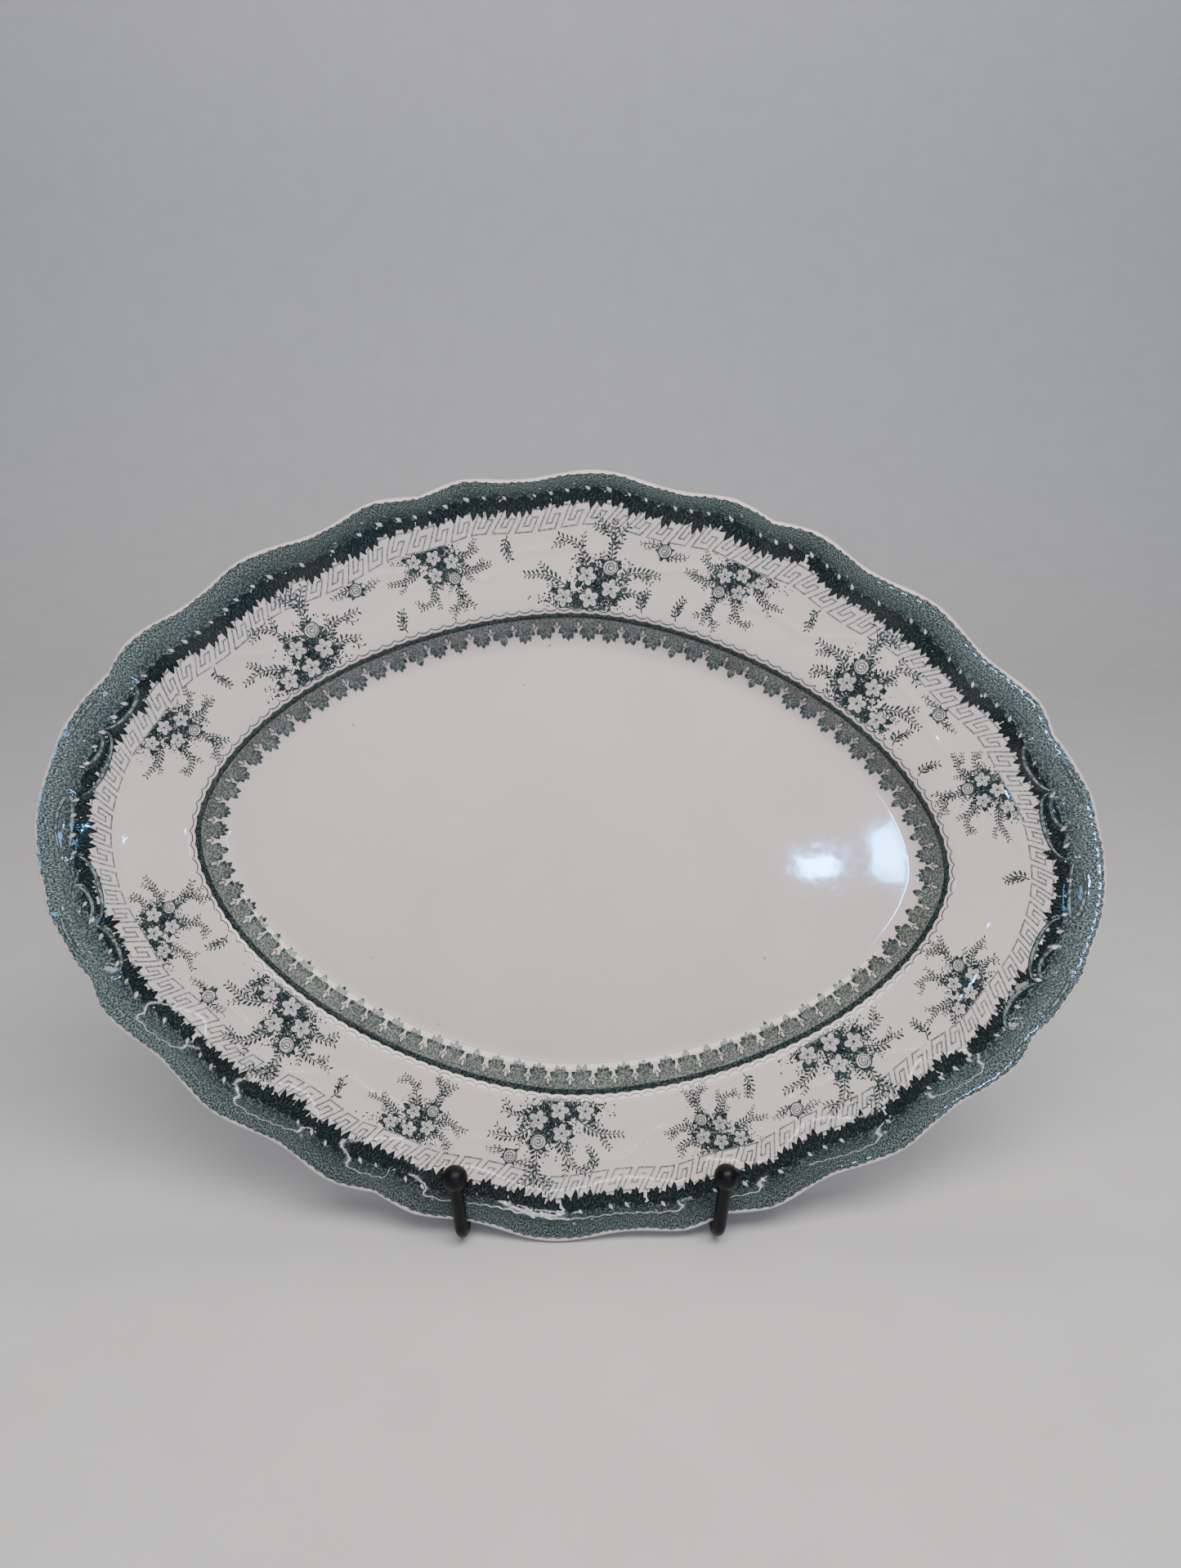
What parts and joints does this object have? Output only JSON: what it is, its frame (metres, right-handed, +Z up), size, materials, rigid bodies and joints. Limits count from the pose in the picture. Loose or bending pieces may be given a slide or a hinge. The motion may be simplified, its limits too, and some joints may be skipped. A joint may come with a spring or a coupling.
{
  "type": "china serving platter",
  "caption": "Oval china serving platter with a lobed rim and a green printed border, leaning on a folding black wire display stand with two ball-tipped hooks.",
  "frame": {"origin": "centre of the bounding box's base, on the table under the platter's middle", "axes": "+X to the right as the printed face is seen, +Y to the rear towards the prop leg, +Z up"},
  "size_m": [0.3552, 0.1618, 0.2472],
  "materials": {
    "china_glaze": "glossy warm white glaze over green transfer print",
    "black_powder_coat": "satin black powder coat"
  },
  "bodies": {
    "stand": {"front_frame": "black_powder_coat", "lower_crossbar": "black_powder_coat", "hinge_bar": "black_powder_coat", "stop_bar": "black_powder_coat", "left_hook": "black_powder_coat", "left_hook_ball": "black_powder_coat", "right_hook": "black_powder_coat", "right_hook_ball": "black_powder_coat"},
    "platter": {"platter": "china_glaze"},
    "prop_leg": {"prop_leg": "black_powder_coat"}
  },
  "joints": [
    {"name": "platter_lift", "type": "slide", "parent": "stand", "child": "platter", "axis": [0, 0.2622, 0.965], "range_m": [0, 0.22]},
    {"name": "prop_leg_fold", "type": "hinge", "parent": "stand", "child": "prop_leg", "pos_m": [0.0053, 0.00647, 0.15835], "axis": [-1, 0, 0], "range_deg": [0, 38]}
  ]
}
